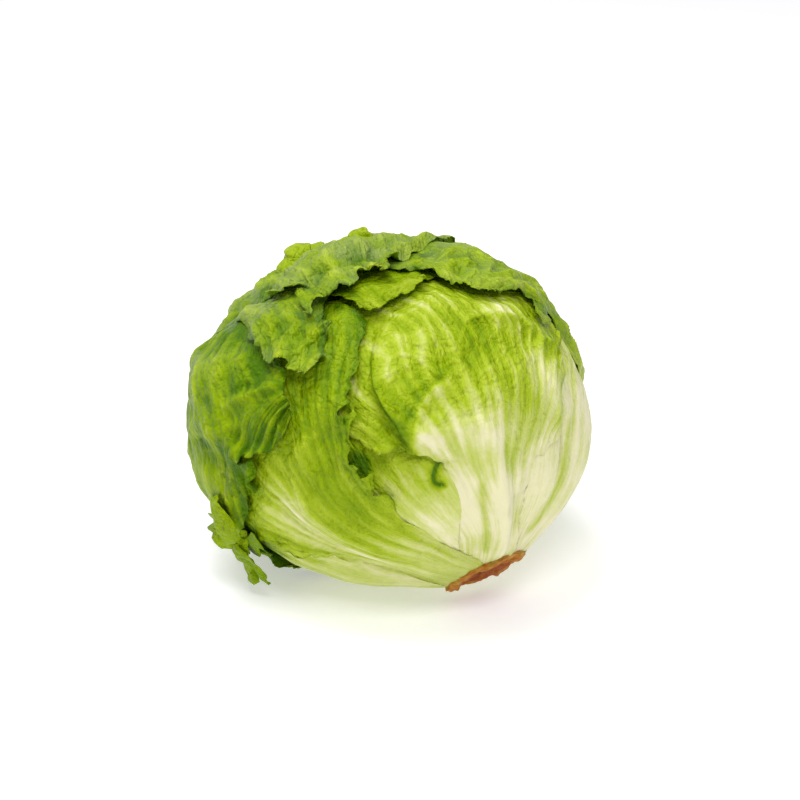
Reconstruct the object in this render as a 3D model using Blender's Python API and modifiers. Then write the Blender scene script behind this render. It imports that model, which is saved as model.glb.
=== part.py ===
# Iceberg lettuce head, lying on its side with the cut stem low at the front right.
# The head is built from the inside out: a stem, a solid heart, and one curved shell
# for each leaf. Every leaf hugs whatever lies under it, so the shells nest without
# touching. Sizes are in millimetres until the last step, which makes them metres.

import math

import bmesh
import bpy
import numpy as np
from mathutils import Vector

MM = 0.001

# Outer form of the head: half sizes across, front to back, above and below its centre
HALF_WIDTH = 82.0
HALF_DEPTH = 79.0
HALF_ABOVE = 67.8
HALF_BELOW = 71.5
CENTRE_HEIGHT = 64.5

# The stem's axis, from the head's centre: below level, and turned right from the front
STEM_DOWN = 40.0
STEM_TURN = 39.1
VIEW_ELEVATION = 22.0
STEM_REACH = 80.4
STEM_RADIUS = 16.5
STEM_NECK_RADIUS = 15.0
STEM_CORE_DEPTH = 56.0
STEM_BULGE = 0.085
STEM_BULGE_ANGLE = 17.0
NECK_ANGLE = 13.0

# Leaves: shell thickness, and how far each one lifts the next
LEAF_THICKNESS = 1.1
LEAF_PITCH = 3.0
LEAF_BASE_GAP = 1.6
LEAF_TIP_ROUNDING = 14.0
EDGE_MARGIN = 3.0
EDGE_FADE = 30.0
SMOOTH_FADE = 42.0
STEM_CROWDING = 50.0
SIDE_FADE = 15.0
BASE_MARGIN = 8.0
CELL = 12.0

# The flat that the head's weight presses into the leaf it lies on
FLAT_BLEND = 3.0

BLISTER_HEIGHT = 0.45
HEART_SEGMENTS = 28
HEART_RINGS = 18
STEM_SIDES = 32
HOLE_GAP = 0.6
HEART_GAP = 0.8

# Each leaf: name, the direction its midrib leaves the stem (0 faces the viewer, and
# positive is to the right), and its outline. A row of the outline is the angle out
# from the stem along the midrib, then the angles to the left and right margins.
LEAVES = (
    ("inner_leaf_front", 10, ((14, -12, 12), (45, -38, 38), (90, -58, 58), (140, -55, 55), (168, -38, 38))),
    ("inner_leaf_right", 130, ((14, -12, 12), (45, -38, 38), (90, -58, 58), (140, -55, 55), (168, -38, 38))),
    ("inner_leaf_left", -110, ((14, -12, 12), (45, -38, 38), (90, -58, 58), (140, -55, 55), (168, -38, 38))),
    ("pale_right_leaf", 60, ((13, -10, 9), (35, -20, 22), (60, -34, 34), (90, -36, 36), (116, -26, 26))),
    ("right_leaf", 88, ((13, -6, 9), (20, -13, 16), (30, -15, 26), (50, -17, 38), (75, -14, 48),
                        (95, -16, 50), (132, -24, 42))),
    ("pale_middle_leaf", -2, ((13, -9, 9), (30, -16, 18), (50, -28, 26), (75, -38, 30), (100, -34, 28),
                              (116, -22, 18))),
    ("front_leaf", 22, ((13, -5, 4), (30, -6, 8), (45, -11, 17), (60, -26, 36), (74, -32, 45),
                        (90, -24, 47), (105, -16, 45), (118, -9, 36))),
    ("under_leaf", -75, ((13, -9, 9), (30, -20, 16), (50, -34, 20), (72, -42, 18), (100, -44, 22),
                         (130, -34, 18))),
    ("left_leaf", -30, ((13, -6, 7), (30, -9, 8), (45, -17, 8), (60, -30, 11), (75, -42, 18),
                        (90, -49, 30), (105, -49, 36), (118, -44, 31), (130, -36, 20))),
    ("crown_inner_leaf", -175, ((13, -9, 9), (60, -42, 38), (120, -56, 44), (180, -52, 34), (232, -38, 14),
                                (256, -22, 4))),
    ("back_right_leaf", 125, ((13, -9, 9), (35, -23, 24), (58, -34, 38), (74, -45, 48), (90, -60, 57),
                              (110, -70, 60), (140, -71, 60), (168, -64, 52), (190, -48, 40))),
    ("left_outer_leaf", -100, ((13, -9, 4), (40, -24, 6), (60, -36, 13), (72, -41, 32), (84, -46, 54),
                               (98, -50, 69), (120, -50, 71), (144, -47, 60), (162, -40, 44))),
    ("upper_left_leaf", -130, ((13, -9, 9), (40, -22, 22), (80, -34, 40), (130, -36, 52), (180, -26, 55),
                               (207, -8, 62), (232, 12, 67), (256, 36, 67))),
    ("crown_leaf", -165, ((13, -10, 10), (40, -28, 30), (80, -50, 50), (130, -58, 52), (170, -56, 40),
                          (195, -48, 27), (215, -38, 24), (235, -20, 20), (247, -6, 16))),
)

BLADE_GREEN = (0.22, 0.42, 0.05, 1.0)
PALE_GREEN = (0.62, 0.72, 0.30, 1.0)
CREAM = (0.80, 0.82, 0.55, 1.0)
CUT_BROWN = (0.45, 0.19, 0.07, 1.0)
PALE_LEAVES = ("pale_right_leaf", "pale_middle_leaf", "under_leaf", "right_leaf")


def stem_frame():
    """The stem's axis, and the two directions that angles around it are measured from."""
    down = math.radians(STEM_DOWN)
    turn = math.radians(STEM_TURN)
    axis = np.array([math.cos(down) * math.sin(turn), -math.cos(down) * math.cos(turn), -math.sin(down)])
    raised = math.radians(VIEW_ELEVATION)
    viewer = np.array([0.0, -math.cos(raised), math.sin(raised)])
    front = viewer - axis * (viewer @ axis)
    front /= np.linalg.norm(front)
    side = np.cross(front, axis)
    return axis, front, side


AXIS, FRONT, SIDE = stem_frame()


def ease(value):
    """A smooth step from 0 to 1."""
    value = np.clip(value, 0.0, 1.0)
    return value * value * (3.0 - 2.0 * value)


def smooth_minimum(first, second, blend):
    share = np.clip(0.5 + 0.5 * (second - first) / blend, 0.0, 1.0)
    return second * (1.0 - share) + first * share - blend * share * (1.0 - share)


def smooth_rows(rows, angle):
    """Left and right margins at an angle along the midrib, by a smooth curve through the rows."""
    knots = np.array([row[0] for row in rows], float)
    values = np.array([row[1:] for row in rows], float)
    slopes = np.gradient(values, knots, axis=0)
    angle = np.clip(angle, knots[0], knots[-1])
    index = np.clip(np.searchsorted(knots, angle) - 1, 0, len(knots) - 2)
    width = knots[index + 1] - knots[index]
    t = (angle - knots[index]) / width
    start, end = values[index], values[index + 1]
    leave, arrive = slopes[index] * width[..., None], slopes[index + 1] * width[..., None]
    t = t[..., None]
    curve = ((2 * t**3 - 3 * t**2 + 1) * start + (t**3 - 2 * t**2 + t) * leave
             + (3 * t**2 - 2 * t**3) * end + (t**3 - t**2) * arrive)
    return curve[..., 0], curve[..., 1]


def leaf_axes(turn):
    """A leaf's midrib direction and the direction across it."""
    turn = math.radians(turn)
    return FRONT * math.cos(turn) + SIDE * math.sin(turn), SIDE * math.cos(turn) - FRONT * math.sin(turn)


def leaf_directions(turn, along, across):
    """Unit vectors from the head's centre, for angles in a leaf's own frame."""
    out, sideways = leaf_axes(turn)
    along, across = np.radians(along)[..., None], np.radians(across)[..., None]
    return np.cos(across) * (AXIS * np.cos(along) + out * np.sin(along)) + np.sin(across) * sideways


def cover(leaf, directions, fade):
    """1 where a leaf lies, easing to 0 over the fade angle outside its margin."""
    _, turn, rows = leaf
    out, sideways = leaf_axes(turn)
    across = np.degrees(np.arcsin(np.clip(directions @ sideways, -1.0, 1.0)))
    along = np.degrees(np.arctan2(directions @ out, directions @ AXIS))
    along = np.where(along < -60.0, along + 360.0, along)
    left, right = smooth_rows(rows, along)
    middle, half = (left + right) / 2, (right - left) / 2
    offset = np.abs(across - middle)
    beside = half - offset
    reach = rows[-1][0] - LEAF_TIP_ROUNDING * np.minimum((offset / half) ** 2, 1.0)
    beyond = np.minimum(reach - along, along - rows[0][0] + BASE_MARGIN)
    inside = np.minimum(beside, beyond)
    from_stem = np.degrees(np.arccos(np.clip(directions @ AXIS, -1.0, 1.0)))
    fade = fade * np.clip(from_stem / STEM_CROWDING, 0.15, 1.0)
    side_pole = ease((90.0 - np.abs(across)) / SIDE_FADE)
    return ease((inside + EDGE_MARGIN + fade) / fade) * side_pole


def stack_height(directions, count, fade):
    """Height of the first leaves of the stack above the heart."""
    height = np.zeros(directions.shape[:-1])
    for leaf in LEAVES[:count]:
        height = height + LEAF_PITCH * cover(leaf, directions, fade)
    return height


def outer_form(directions):
    """Radius of the whole head, with the swelling around the stem."""
    below = directions[..., 2] < 0
    half_height = np.where(below, HALF_BELOW, HALF_ABOVE)
    scaled = np.stack([directions[..., 0] / HALF_WIDTH, directions[..., 1] / HALF_DEPTH,
                       directions[..., 2] / half_height], axis=-1)
    radius = 1.0 / np.linalg.norm(scaled, axis=-1)
    from_stem = np.degrees(np.arccos(np.clip(directions @ AXIS, -1.0, 1.0)))
    return radius * (1.0 + STEM_BULGE * np.exp(-((from_stem / STEM_BULGE_ANGLE) ** 2)))


def blisters(directions):
    """Shallow puckers, which every layer shares."""
    x, y, z = directions[..., 0], directions[..., 1], directions[..., 2]
    waves = np.sin(9.0 * x + 4.0 * z) * np.sin(8.0 * y - 3.0 * x) + 0.6 * np.sin(13.0 * z + 6.0 * y)
    return BLISTER_HEIGHT * waves


def layer_points(directions, height):
    """Points at a height above the heart. Layers close up over the flat underneath."""
    everything = stack_height(directions, len(LEAVES), EDGE_FADE)
    average = stack_height(directions, len(LEAVES), SMOOTH_FADE)
    free = outer_form(directions) - average + height + blisters(directions)
    drop = np.maximum(-directions[..., 2], 0.05)
    resting = (CENTRE_HEIGHT - (everything - height)) / drop
    radius = smooth_minimum(free, resting, FLAT_BLEND)
    points = directions * radius[..., None]
    points[..., 2] += CENTRE_HEIGHT
    return points


def new_material(name, colour, roughness):
    material = bpy.data.materials.new(name)
    material.use_nodes = True
    shader = material.node_tree.nodes["Principled BSDF"]
    shader.inputs["Base Color"].default_value = colour
    shader.inputs["Roughness"].default_value = roughness
    shader.inputs["Metallic"].default_value = 0.0
    return material


def move_vertices(mesh, points):
    mesh.vertices.foreach_set("co", (np.asarray(points) * MM).ravel())
    mesh.update()


def local_grid(mesh):
    """Each vertex of a flat grid as -1..1 across and 0..1 along."""
    flat = np.empty(len(mesh.vertices) * 3)
    mesh.vertices.foreach_get("co", flat)
    flat = flat.reshape(-1, 3)
    return flat[:, 0], (flat[:, 1] + 1.0) / 2.0


def base_angles(turn, across, height):
    """Angles along the midrib where a leaf at this height clears the stem's neck."""
    near = leaf_directions(turn, np.full_like(across, NECK_ANGLE), across)
    radius = np.linalg.norm(layer_points(near, height) - np.array([0.0, 0.0, CENTRE_HEIGHT]), axis=-1)
    ring = np.arcsin((STEM_NECK_RADIUS + LEAF_BASE_GAP) / radius)
    return np.degrees(np.arccos(np.clip(np.cos(ring) / np.cos(np.radians(across)), -1.0, 1.0)))


def make_leaf(index, collection):
    name, turn, rows = LEAVES[index]
    reach = rows[-1][0]
    size = HALF_WIDTH * math.pi / 180
    widest = max(right - left for _, left, right in rows)
    columns = max(8, round(widest * size / CELL))
    lines = max(9, round((reach - rows[0][0]) * size / CELL))
    bpy.ops.mesh.primitive_grid_add(x_subdivisions=columns, y_subdivisions=lines, size=2.0)
    leaf = bpy.context.object
    leaf.name = name
    across_share, along_share = local_grid(leaf.data)

    # the base follows the stem's neck, and the tip is rounded
    base_left, base_right = rows[0][1:]
    base_across = base_left + (base_right - base_left) * (across_share + 1.0) / 2.0
    near = leaf_directions(turn, np.full_like(base_across, NECK_ANGLE), base_across)
    base = base_angles(turn, base_across, stack_height(near, index, EDGE_FADE) + LEAF_PITCH)
    tip = reach - LEAF_TIP_ROUNDING * across_share**2
    along = base + (tip - base) * along_share
    left, right = smooth_rows(rows, along)
    across = left + (right - left) * (across_share + 1.0) / 2.0

    directions = leaf_directions(turn, along, across)
    height = stack_height(directions, index, EDGE_FADE) + LEAF_PITCH
    move_vertices(leaf.data, layer_points(directions, height))
    leaf.data.shade_smooth()
    shell = leaf.modifiers.new("thickness", "SOLIDIFY")
    shell.thickness = LEAF_THICKNESS * MM
    shell.offset = -1.0
    colour = CREAM if name in PALE_LEAVES else BLADE_GREEN
    if name.startswith("inner"):
        colour = PALE_GREEN
    leaf.data.materials.append(new_material(name, colour, 0.45))
    take_into(leaf, collection)
    return leaf


def stem_profile(gap):
    """Outline of the stem, from the tip inside the heart to the cut: radius, distance from the centre."""
    tip = STEM_REACH - STEM_CORE_DEPTH
    return ((0.0, tip - gap), (5.0 + gap, tip + 3.0 - gap), (10.0 + gap, tip + 17.0),
            (13.0 + gap, tip + 33.0), (STEM_NECK_RADIUS + gap, tip + 49.0),
            (STEM_RADIUS - 0.4 + gap, STEM_REACH - 2.6), (STEM_RADIUS + gap, STEM_REACH - 0.8 + gap),
            (STEM_RADIUS - 0.8 + gap, STEM_REACH + gap), (0.0, STEM_REACH + gap))


def turned_stem(name, gap):
    """The stem's outline turned about its axis, with its cut end pointing away from the head's centre."""
    mesh = bpy.data.meshes.new(name)
    solid = bpy.data.objects.new(name, mesh)
    profile = [Vector((radius * MM, 0.0, -distance * MM)) for radius, distance in stem_profile(gap)]
    mesh.from_pydata(profile, [(i, i + 1) for i in range(len(profile) - 1)], [])
    solid.location = (0.0, 0.0, CENTRE_HEIGHT * MM)
    solid.rotation_mode = "QUATERNION"
    solid.rotation_quaternion = Vector(-AXIS).to_track_quat("Z", "Y")
    screw = solid.modifiers.new("turn", "SCREW")
    screw.axis = "Z"
    screw.steps = STEM_SIDES
    screw.render_steps = STEM_SIDES
    screw.use_merge_vertices = True
    screw.merge_threshold = 0.00001
    return solid


def make_stem(collection):
    stem = turned_stem("stem", 0.0)
    stem.data.materials.append(new_material("stem", CUT_BROWN, 0.7))
    take_into(stem, collection)
    return stem


def make_heart(collection, cutters):
    """The tight leaves in the middle as one solid, with a blind hole for the stem."""
    mesh = bpy.data.meshes.new("heart")
    heart = bpy.data.objects.new("heart", mesh)
    ball = bmesh.new()
    bmesh.ops.create_uvsphere(ball, u_segments=HEART_SEGMENTS, v_segments=HEART_RINGS, radius=1.0)
    directions = np.array([vertex.co.normalized() for vertex in ball.verts])
    ball.to_mesh(mesh)
    ball.free()
    move_vertices(mesh, layer_points(directions, -HEART_GAP))
    mesh.shade_smooth()
    mesh.materials.append(new_material("heart", PALE_GREEN, 0.5))
    take_into(heart, collection)

    cutter = turned_stem("heart_hole", HOLE_GAP)
    cutter.hide_render = True
    cutter.display_type = "WIRE"
    take_into(cutter, cutters)
    hole = heart.modifiers.new("stem hole", "BOOLEAN")
    hole.operation = "DIFFERENCE"
    hole.object = cutter
    return heart


def take_into(item, collection):
    for other in list(item.users_collection):
        other.objects.unlink(item)
    collection.objects.link(item)


def main():
    for item in list(bpy.data.objects):
        bpy.data.objects.remove(item, do_unlink=True)
    head = bpy.data.collections.new("iceberg_lettuce_head")
    cutters = bpy.data.collections.new("cutters")
    bpy.context.scene.collection.children.link(head)
    bpy.context.scene.collection.children.link(cutters)
    make_stem(head)
    make_heart(head, cutters)
    for index in range(len(LEAVES)):
        make_leaf(index, head)


main()
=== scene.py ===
import math
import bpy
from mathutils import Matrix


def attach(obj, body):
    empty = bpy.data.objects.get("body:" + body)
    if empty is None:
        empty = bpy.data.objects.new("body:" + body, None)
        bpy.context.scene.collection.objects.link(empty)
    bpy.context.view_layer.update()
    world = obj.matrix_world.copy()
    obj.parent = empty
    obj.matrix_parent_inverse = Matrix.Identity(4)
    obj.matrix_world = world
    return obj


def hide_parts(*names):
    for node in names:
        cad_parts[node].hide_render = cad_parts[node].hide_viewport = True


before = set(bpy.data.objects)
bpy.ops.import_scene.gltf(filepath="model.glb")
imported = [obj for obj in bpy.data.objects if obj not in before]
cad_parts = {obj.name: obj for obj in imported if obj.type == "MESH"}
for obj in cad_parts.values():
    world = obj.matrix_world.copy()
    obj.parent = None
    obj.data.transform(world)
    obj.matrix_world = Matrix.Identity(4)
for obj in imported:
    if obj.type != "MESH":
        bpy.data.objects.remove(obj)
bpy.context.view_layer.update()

from types import SimpleNamespace

import bpy
import numpy as np
from mathutils import Vector

# Iceberg lettuce head. Lengths are millimetres and angles are degrees until a mesh is made.
# Every leaf is drawn as an outline in its own two angles: along its midrib from the stem,
# and across it. The leaves are laid over the heart one by one, from the inside out.

metre = 0.001
meshStep = 1.0

head = dict(
    halfWidth=82.0, halfDepth=79.0, halfAbove=67.8, halfBelow=71.5,
    centreHeight=64.5,
    stemDown=40.0, stemTurn=39.1,          # where the stem points: below level, right of the front
    viewAngle=22.0,
    neckAngle=11.3,                        # the leaves start this far from the stem's axis
    stemBulge=0.085, bulgeAngle=17.0,
    neckDip=0.4, neckReach=16.0,
    pitch=1.7, thickness=0.75,             # each leaf lifts the next one by the pitch, and less near the stem
    fade=9.0, broadFade=42.0, seenFade=7.0,    # how far past its margin a leaf lifts, and hides, others
    crowding=50.0, flatBlend=3.0, shoulder=2.22,
    swells=((1.3, 34.0, 3), (0.7, 16.0, 4)),   # height, length and seed
    radius=79.0, degree=1.36,              # mean radius, and millimetres on it for one degree
    lowest=0.35,
    dents=(((-0.70, 0.25, 0.669), 8.6, 17.0),       # where the ball is flatter: direction, depth, half width
           ((0.937, 0.131, 0.324), 4.6, 21.0),
           ((0.82, -0.214, -0.528), 4.6, 15.0),
           ((-0.08, -0.375, -0.92), 4.4, 21.0),
           ((0.15, -0.43, -0.89), 4.6, 13.0)),
)


def unit(vector):
    return vector / np.maximum(np.linalg.norm(vector, axis=-1, keepdims=True), 1e-9)


downTilt, sideTurn, viewTilt = (math.radians(head[key]) for key in ("stemDown", "stemTurn", "viewAngle"))
stemAxis = np.array([math.cos(downTilt) * math.sin(sideTurn), -math.cos(downTilt) * math.cos(sideTurn),
                     -math.sin(downTilt)])
towardViewer = np.array([0.0, -math.cos(viewTilt), math.sin(viewTilt)])
frontWay = unit(towardViewer - stemAxis * (towardViewer @ stemAxis))
sideWay = np.cross(frontWay, stemAxis)
centre = np.array([0.0, 0.0, head["centreHeight"]])


def ease(value):
    value = np.clip(value, 0.0, 1.0)
    return value * value * (3.0 - 2.0 * value)


def softMin(first, second, blend):
    share = np.clip(0.5 + 0.5 * (second - first) / blend, 0.0, 1.0)
    return second * (1.0 - share) + first * share - blend * share * (1.0 - share)


# large odd numbers that mix a cell's place and the seed into a random one
placeMix, seedMix, stirMix = np.array([374761393, 668265263, 1274126177]), 9176501, 1274126177


def wander(points, length, seed):
    # smooth random values from -1 to 1 that change over about this length
    grid = points / length + seed * 13.7
    cell = np.floor(grid).astype(np.int64)
    part = grid - cell
    part = part * part * (3.0 - 2.0 * part)
    total = np.zeros(points.shape[:-1])
    for corner in range(8):
        step = np.array([corner & 1, corner >> 1 & 1, corner >> 2 & 1])
        code = ((cell + step) * placeMix).sum(-1) + seed * seedMix
        code = (code ^ (code >> 13)) * stirMix
        code = (code ^ (code >> 16)) & 0xFFFF
        weight = np.prod(np.where(step == 1, part, 1.0 - part), axis=-1)
        total += weight * (code / 32767.5 - 1.0)
    return total


def creases(points, length, sharpness, seed):
    # 1 on thin wandering lines that join into a net, and 0 between them
    return np.exp(-((wander(points, length, seed) / sharpness) ** 2))


def patch(directions, middle, width):
    # 1 at the middle direction, and 0 well past this many degrees from it
    return np.exp((directions @ middle - 1.0) * 2.0 / math.radians(width) ** 2)


def leafWays(turn):
    # square to the stem: the way that the midrib leaves it, and the way across the leaf
    cosine, sine = math.cos(math.radians(turn)), math.sin(math.radians(turn))
    return frontWay * cosine + sideWay * sine, sideWay * cosine - frontWay * sine


def toDirections(turn, along, across):
    out, sideways = leafWays(turn)
    along, across = np.radians(along)[..., None], np.radians(across)[..., None]
    return np.cos(across) * (stemAxis * np.cos(along) + out * np.sin(along)) + np.sin(across) * sideways


def toAngles(turn, directions):
    out, sideways = leafWays(turn)
    across = np.degrees(np.arcsin(np.clip(directions @ sideways, -1.0, 1.0)))
    along = np.degrees(np.arctan2(directions @ out, directions @ stemAxis))
    return np.where(along < -60.0, along + 360.0, along), across


def fromStem(directions):
    return np.degrees(np.arccos(np.clip(directions @ stemAxis, -1.0, 1.0)))


def smoothPath(points, steps=4, closed=True):
    # a smooth curve through the points
    here = np.asarray(points, float)
    if closed:
        before, after, second = np.roll(here, 1, 0), np.roll(here, -1, 0), np.roll(here, -2, 0)
    else:
        padded = np.concatenate([here[:1], here, here[-1:], here[-1:]])
        runs = (padded[:-3], padded[1:-2], padded[2:-1], padded[3:])
        before, here, after, second = (run[:len(padded) - 4] for run in runs)
    end = after[-1:]
    share = (np.arange(steps) / steps)[None, :, None]
    before, here, after, second = (item[:, None, :] for item in (before, here, after, second))
    curve = 0.5 * (2 * here + (after - before) * share
                   + (2 * before - 5 * here + 4 * after - second) * share**2
                   + (3 * here - before - 3 * after + second) * share**3)
    curve = curve.reshape(-1, 2)
    return curve if closed else np.concatenate([curve, end])


def nearestOn(points, path):
    # distance to a chain of segments, the nearest segment, and how far along it the foot is
    best = np.full(points.shape[0], 1e9)
    which = np.zeros(points.shape[0], int)
    partWay = np.zeros(points.shape[0])
    for index in range(len(path) - 1):
        start, way = path[index], path[index + 1] - path[index]
        share = np.clip((points - start) @ way / max(way @ way, 1e-9), 0.0, 1.0)
        distance = np.linalg.norm(points - start - share[:, None] * way, axis=1)
        nearer = distance < best
        best[nearer], which[nearer], partWay[nearer] = distance[nearer], index, share[nearer]
    return best, which, partWay


def insideOutline(along, across, curve):
    inside = np.zeros(along.shape, bool)
    for start, end in zip(curve, np.roll(curve, -1, 0)):
        if start[1] == end[1]:
            continue
        crosses = (across < start[1]) != (across < end[1])
        meets = (end[0] - start[0]) * (across - start[1]) / (end[1] - start[1]) + start[0]
        inside ^= crosses & (along < meets)
    return inside


def marginInset(leaf, directions):
    # millimetres inward from the leaf's margin, and less than 0 outside it
    flat = directions.reshape(-1, 3)
    curve = smoothPath(leaf["outline"])
    ring = toDirections(leaf["turn"], curve[:, 0], curve[:, 1]) * head["radius"]
    distance = nearestOn(flat * head["radius"], np.concatenate([ring, ring[:1]]))[0]
    along, across = toAngles(leaf["turn"], flat)
    inside = insideOutline(along, across, curve)
    return np.where(inside, distance, -distance).reshape(directions.shape[:-1])


def ribPlace(leaf, along):
    # across-angle of the rib, and how wide the leaf's fan of veins is there
    rows = np.asarray(leaf["fan"], float)
    return np.interp(along, rows[:, 0], rows[:, 1]), np.interp(along, rows[:, 0], rows[:, 2])


def ribRelief(leaf, along, across):
    # the rib stands up from the blade, most of all between the stem and the blade's middle
    rib = leaf["rib"]
    middle = ribPlace(leaf, along)[0]
    swell = rib["height"] * np.exp(-((across - middle) / (rib["width"] * (0.55 + along / 60.0))) ** 2)
    return swell * ease((rib["until"] - along) / rib["until"] * 1.6) * ease((along - 6.0) / 24.0)


def pitchAt(directions):
    return head["pitch"] * (0.2 + 0.8 * ease((fromStem(directions) - 13.0) / 45.0))


def outerForm(directions):
    # an egg-like ball, with fuller shoulders above its middle
    ways = np.moveaxis(directions, -1, 0)
    half = np.stack([np.full(ways[0].shape, head["halfWidth"]), np.full(ways[0].shape, head["halfDepth"]),
                     np.where(ways[2] < 0, head["halfBelow"], head["halfAbove"])])
    power = 2.0 + (head["shoulder"] - 2.0) * ease(ways[2] / 0.4)
    radius = (np.abs(ways / half) ** power).sum(0) ** (-1.0 / power)
    for way, depth, width in head["dents"]:
        radius = radius - depth * patch(directions, unit(np.array(way)), width)
    away = fromStem(directions)
    radius = radius * (1.0 + head["stemBulge"] * np.exp(-((away / head["bulgeAngle"]) ** 2)))
    return radius - head["neckDip"] * np.exp(-((away / head["neckReach"]) ** 2))


def swells(directions):
    # the broad lumps that every layer of the head shares
    points = directions * head["radius"]
    return sum(height * wander(points, length, seed) for height, length, seed in head["swells"])


# The leaves from the inside out. In each outline a point is the angle along the midrib and the
# angle across it. The fan gives, at some distances along, the rib's place across and the spread
# of its veins. A spot is along, across, half length, half width, lift and change of tone; a spot
# that sinks and darkens is painted shade in a hollow, a pit or a gap.
# A fold is a ridge along its path. Near and far are its widths on its two sides, and the far side
# has the greater angles across where the path runs away from the stem. Shade is the change of
# tone on the near side and on the far side: partly the leaf's own colour, and partly painted shade
# in grooves, creases and cracks, with painted light on one side of some ridges. A hole is along,
# across and radius. A patch of painted sheen and a calm stretch are along, across and width, and
# a sheen patch ends with how much more sheen is painted there.

wrapOutline = [(10, -8), (26, -24), (50, -42), (90, -58), (130, -58), (158, -46), (170, -20), (170, 20),
               (158, 46), (130, 58), (90, 58), (50, 42), (26, 24), (10, 8)]
plainFan = [(10, 0, 8), (40, 0, 26), (90, 0, 52), (170, 0, 46)]
wrappedLeaf = dict(outline=wrapOutline, fan=plainFan, cell=3.2)
looseCurl = dict(least=-20.0, most=40.0, width=4.5, length=9.0)
looseRuffle = dict(lift=1.8, wave=6.5, width=8.0, sway=2.0, fine=0.45)

innerLeafFront = dict(wrappedLeaf, name="innerLeafFront", node="inner_leaf_front", turn=10)
innerLeafRight = dict(wrappedLeaf, name="innerLeafRight", node="inner_leaf_right", turn=130)
innerLeafLeft = dict(wrappedLeaf, name="innerLeafLeft", node="inner_leaf_left", turn=-110)

paleRightLeaf = dict(
    name="paleRightLeaf", node="pale_right_leaf", turn=60,
    outline=[(10, -7), (24, -18), (45, -28), (75, -36), (100, -34), (116, -16), (116, 14), (100, 30),
             (70, 34), (45, 24), (24, 14), (10, 7)],
    fan=[(10, 0, 8), (40, 0, 24), (80, 0, 38), (116, 0, 36)],
    rib=dict(height=1.4, width=9.0, until=80), veins=(5, 0.35), crumple=0.3,
    look=dict(pale=0.04, green=0.5, turnsGreen=(52, 95), pattern=0.5),
)

rightLeaf = dict(
    name="rightLeaf", node="right_leaf", turn=88, cell=1.1,
    outline=[(10, -6), (15, -12), (21, -14), (27, -13), (35, -15), (46, -18), (56, -25), (75, -28),
             (95, -26), (120, -20), (134, -5), (134, 15), (125, 35), (95, 48), (75, 46), (50, 38),
             (30, 26), (10, 9)],
    fan=[(10, 2, 7), (30, 3, 17), (60, 6, 26), (90, 10, 32), (134, 8, 32)],
    rib=dict(height=1.8, width=10.0, until=95), veins=(8, 0.6), crumple=0.4,
    ruffle=dict(lift=0.8, wave=6.0, width=5.0, sway=0.8, fine=0.3),
    curl=dict(least=-15.0, most=10.0, width=4.0, length=13.0),
    look=dict(pale=0.06, green=0.32, turnsGreen=(34, 95), pattern=1.0),
    folds=[dict(path=[(14, -9), (22, -11), (32, -12), (44, -14), (54, -15)], lift=0.5, far=2.5, near=1.5,
                shade=(0.4, 0.3), spread=1.3)],
)

paleMiddleLeaf = dict(
    name="paleMiddleLeaf", node="pale_middle_leaf", turn=-2, cell=0.85,
    outline=[(10, -8), (24, -15), (50, -28), (75, -36), (100, -34), (116, -20), (118, 0), (116, 18),
             (100, 28), (75, 30), (50, 24), (28, 15), (10, 8)],
    fan=[(10, 0, 9), (40, -3, 22), (80, -4, 34), (118, -3, 30)],
    rib=dict(height=0.8, width=14.0, until=80), veins=(6, 0.3), crumple=0.5, crossWrinkle=0.22,
    ruffle=dict(lift=1.0, wave=5.0, width=5.0, sway=0.8, fine=0.3),
    look=dict(pale=0.10, green=0.66, turnsGreen=(36, 72), pattern=0.7),
    # the sunken, darker spots are painted shade in pits and in the gap under the front leaf's edge
    spots=[(52, 4, 6, 8, 0.6, 0.02), (42, 3, 16, 8, 0.8, 0.12), (60, 3, 5, 5, -1.5, 0.5),
           (63, -13, 5, 4, -0.6, 0.7), (57, -16, 3, 3, -0.4, 0.5), (71, 1, 6, 6, 0.0, -0.20)],
    # a thin crack, darkened with painted shade
    folds=[dict(path=[(59, 6), (56, 7), (53, 6.5), (51, 4), (49, 2.4), (47.5, 2.2), (46, 3.6), (44.5, 4.4)],
                lift=-1.6, shade=(1.2, 1.2), spread=1.0, evenCovered=True)],
)

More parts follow.
